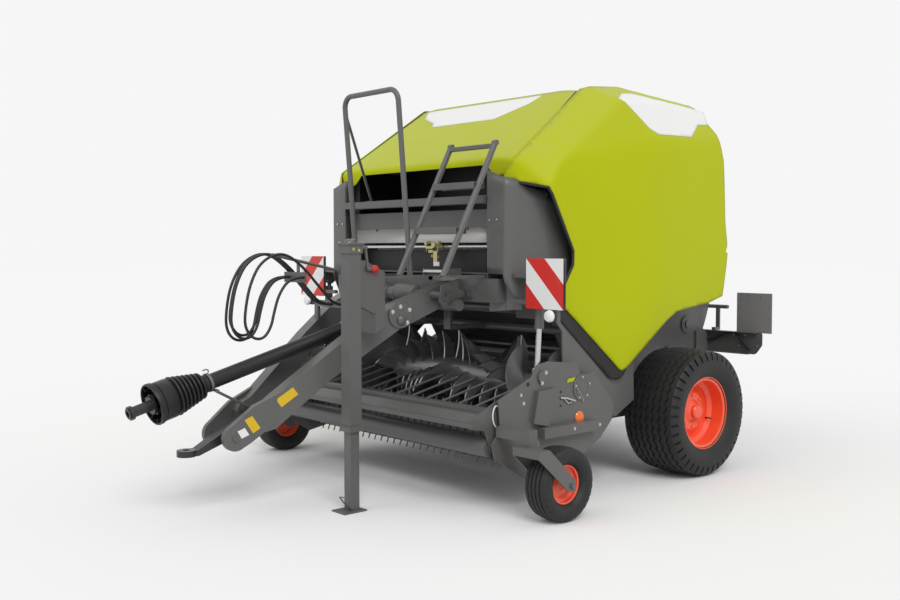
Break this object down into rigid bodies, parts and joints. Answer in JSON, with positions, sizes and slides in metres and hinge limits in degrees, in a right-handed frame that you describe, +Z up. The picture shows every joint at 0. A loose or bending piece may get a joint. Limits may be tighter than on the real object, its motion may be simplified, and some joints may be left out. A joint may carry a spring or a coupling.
{
  "type": "round baler",
  "caption": "Towed round baler with pickup, feed rotor, roller chamber, opening tailgate, hood and side doors, drawbar, jack and drive shaft.",
  "frame": {"origin": "on the ground under the middle of the machine's length and width", "axes": "+Z up, -Y towards the drawbar, +X the machine's left side"},
  "size_m": [2.932, 4.3005, 2.502],
  "materials": {
    "body_paint": "gloss yellow-green paint",
    "frame_paint": "satin dark grey paint",
    "rim_paint": "gloss red-orange paint",
    "tyre_rubber": "matte rubber",
    "worked_steel": "dark steel polished by the crop",
    "zinc_steel": "zinc plated",
    "guard_plastic": "black plastic",
    "hose_rubber": "black hose",
    "board_film": "reflective film on sheet",
    "net_film": "wound net"
  },
  "bodies": {
    "chassis": {"axle": "frame_paint", "side_frame_left": "frame_paint", "side_frame_right": "frame_paint", "crossbeam": "frame_paint", "upper_frame": "frame_paint", "rotor_pan": "worked_steel", "front_wall_left": "frame_paint", "front_wall_right": "frame_paint", "front_rollers": "worked_steel", "net_box": "frame_paint", "net_roll": "net_film", "front_shield_left": "frame_paint", "front_shield_right": "frame_paint", "front_board_left": "board_film", "front_board_right": "board_film", "gearbox": "frame_paint", "drawbar": "frame_paint", "drawbar_eye": "frame_paint", "jack_tube": "frame_paint", "step": "frame_paint", "ladder": "frame_paint", "handrail": "frame_paint", "hose_1": "hose_rubber", "hose_2": "hose_rubber", "hose_3": "hose_rubber", "hose_4": "hose_rubber"},
    "wheel_left": {"tyre_left": "tyre_rubber", "rim_left": "rim_paint"},
    "wheel_right": {"tyre_right": "tyre_rubber", "rim_right": "rim_paint"},
    "feed_rotor": {"feed_rotor": "worked_steel"},
    "pickup": {"pickup_side_left": "frame_paint", "pickup_side_right": "frame_paint", "pickup_beam": "frame_paint", "pickup_bands": "worked_steel", "guide_fork_left": "frame_paint", "guide_fork_right": "frame_paint"},
    "guide_wheel_left": {"guide_tyre_left": "tyre_rubber", "guide_rim_left": "rim_paint"},
    "guide_wheel_right": {"guide_tyre_right": "tyre_rubber", "guide_rim_right": "rim_paint"},
    "pickup_reel": {"pickup_reel": "worked_steel"},
    "wind_guard": {"wind_guard": "frame_paint"},
    "crop_roller": {"crop_roller": "frame_paint"},
    "tailgate": {"gate_wall_left": "frame_paint", "gate_wall_right": "frame_paint", "gate_frame": "frame_paint", "gate_rollers": "worked_steel", "light_beam": "frame_paint", "rear_boards": "frame_paint"},
    "front_hood": {"front_hood": "body_paint"},
    "side_door_left": {"side_door_left": "body_paint"},
    "side_door_right": {"side_door_right": "body_paint"},
    "jack_leg": {"jack_leg": "frame_paint"},
    "drive_shaft": {"drive_shaft": "worked_steel", "shaft_guard": "guard_plastic"},
    "lift_barrel_left": {"lift_barrel_left": "frame_paint"},
    "lift_barrel_right": {"lift_barrel_right": "frame_paint"},
    "lift_rod_left": {"lift_rod_left": "zinc_steel"},
    "lift_rod_right": {"lift_rod_right": "zinc_steel"}
  },
  "joints": [
    {"name": "wheel_left_spin", "type": "hinge", "parent": "chassis", "child": "wheel_left", "pos_m": [1.075, 1.19529, 0.41], "axis": [1, 0, 0], "continuous": true},
    {"name": "wheel_right_spin", "type": "hinge", "parent": "chassis", "child": "wheel_right", "pos_m": [-1.075, 1.19529, 0.41], "axis": [1, 0, 0], "continuous": true},
    {"name": "feed_rotor_spin", "type": "hinge", "parent": "chassis", "child": "feed_rotor", "pos_m": [0, 0.17529, 0.65], "axis": [1, 0, 0], "continuous": true},
    {"name": "pickup_lift", "type": "hinge", "parent": "chassis", "child": "pickup", "pos_m": [0, 0.17529, 0.65], "axis": [-1, 0, 0], "range_deg": [0, 14]},
    {"name": "guide_wheel_left_spin", "type": "hinge", "parent": "pickup", "child": "guide_wheel_left", "pos_m": [1.36, -0.32471, 0.2025], "axis": [1, 0, 0], "continuous": true},
    {"name": "guide_wheel_right_spin", "type": "hinge", "parent": "pickup", "child": "guide_wheel_right", "pos_m": [-1.36, -0.32471, 0.2025], "axis": [1, 0, 0], "continuous": true},
    {"name": "pickup_reel_spin", "type": "hinge", "parent": "pickup", "child": "pickup_reel", "pos_m": [0, -0.20471, 0.365], "axis": [1, 0, 0], "continuous": true},
    {"name": "wind_guard_tilt", "type": "hinge", "parent": "pickup", "child": "wind_guard", "pos_m": [0, -0.00471, 0.69], "axis": [-1, 0, 0], "range_deg": [0, 15]},
    {"name": "crop_roller_spin", "type": "hinge", "parent": "wind_guard", "child": "crop_roller", "pos_m": [0, -0.51671, 0.374], "axis": [1, 0, 0], "continuous": true},
    {"name": "tailgate_open", "type": "hinge", "parent": "chassis", "child": "tailgate", "pos_m": [0, 1.14529, 2.26], "axis": [1, 0, 0], "range_deg": [0, 60]},
    {"name": "front_hood_open", "type": "hinge", "parent": "chassis", "child": "front_hood", "pos_m": [0, 0.50529, 2.43], "axis": [-1, 0, 0], "range_deg": [0, 50]},
    {"name": "side_door_left_open", "type": "hinge", "parent": "chassis", "child": "side_door_left", "pos_m": [0.79, 0.99529, 2.43], "axis": [0, -1, 0], "range_deg": [0, 60]},
    {"name": "side_door_right_open", "type": "hinge", "parent": "chassis", "child": "side_door_right", "pos_m": [-0.79, 0.99529, 2.43], "axis": [0, 1, 0], "range_deg": [0, 60]},
    {"name": "jack_slide", "type": "slide", "parent": "chassis", "child": "jack_leg", "axis": [0, 0, 1], "range_m": [0, 0.3]},
    {"name": "drive_shaft_lift", "type": "hinge", "parent": "chassis", "child": "drive_shaft", "pos_m": [0, -0.50471, 1.05], "axis": [-1, 0, 0], "range_deg": [0, 15]},
    {"name": "lift_barrel_left_swing", "type": "hinge", "parent": "chassis", "child": "lift_barrel_left", "pos_m": [1.04, -0.13471, 1.25], "axis": [1, 0, 0], "range_deg": [0, 5.38]},
    {"name": "lift_rod_left_slide", "type": "slide", "parent": "lift_barrel_left", "child": "lift_rod_left", "axis": [0, 0.0624, 0.9981], "range_m": [0, 0.0815]},
    {"name": "lift_barrel_right_swing", "type": "hinge", "parent": "chassis", "child": "lift_barrel_right", "pos_m": [-1.04, -0.13471, 1.25], "axis": [1, 0, 0], "range_deg": [0, 5.38]},
    {"name": "lift_rod_right_slide", "type": "slide", "parent": "lift_barrel_right", "child": "lift_rod_right", "axis": [0, 0.0624, 0.9981], "range_m": [0, 0.0815]}
  ],
  "couplings": [
    {"joint": "lift_barrel_left_swing", "follows": "pickup_lift", "ratio": 0.3485},
    {"joint": "lift_rod_left_slide", "follows": "pickup_lift", "m_per_rad": 0.3254},
    {"joint": "lift_barrel_right_swing", "follows": "pickup_lift", "ratio": 0.3485},
    {"joint": "lift_rod_right_slide", "follows": "pickup_lift", "m_per_rad": 0.3254}
  ]
}
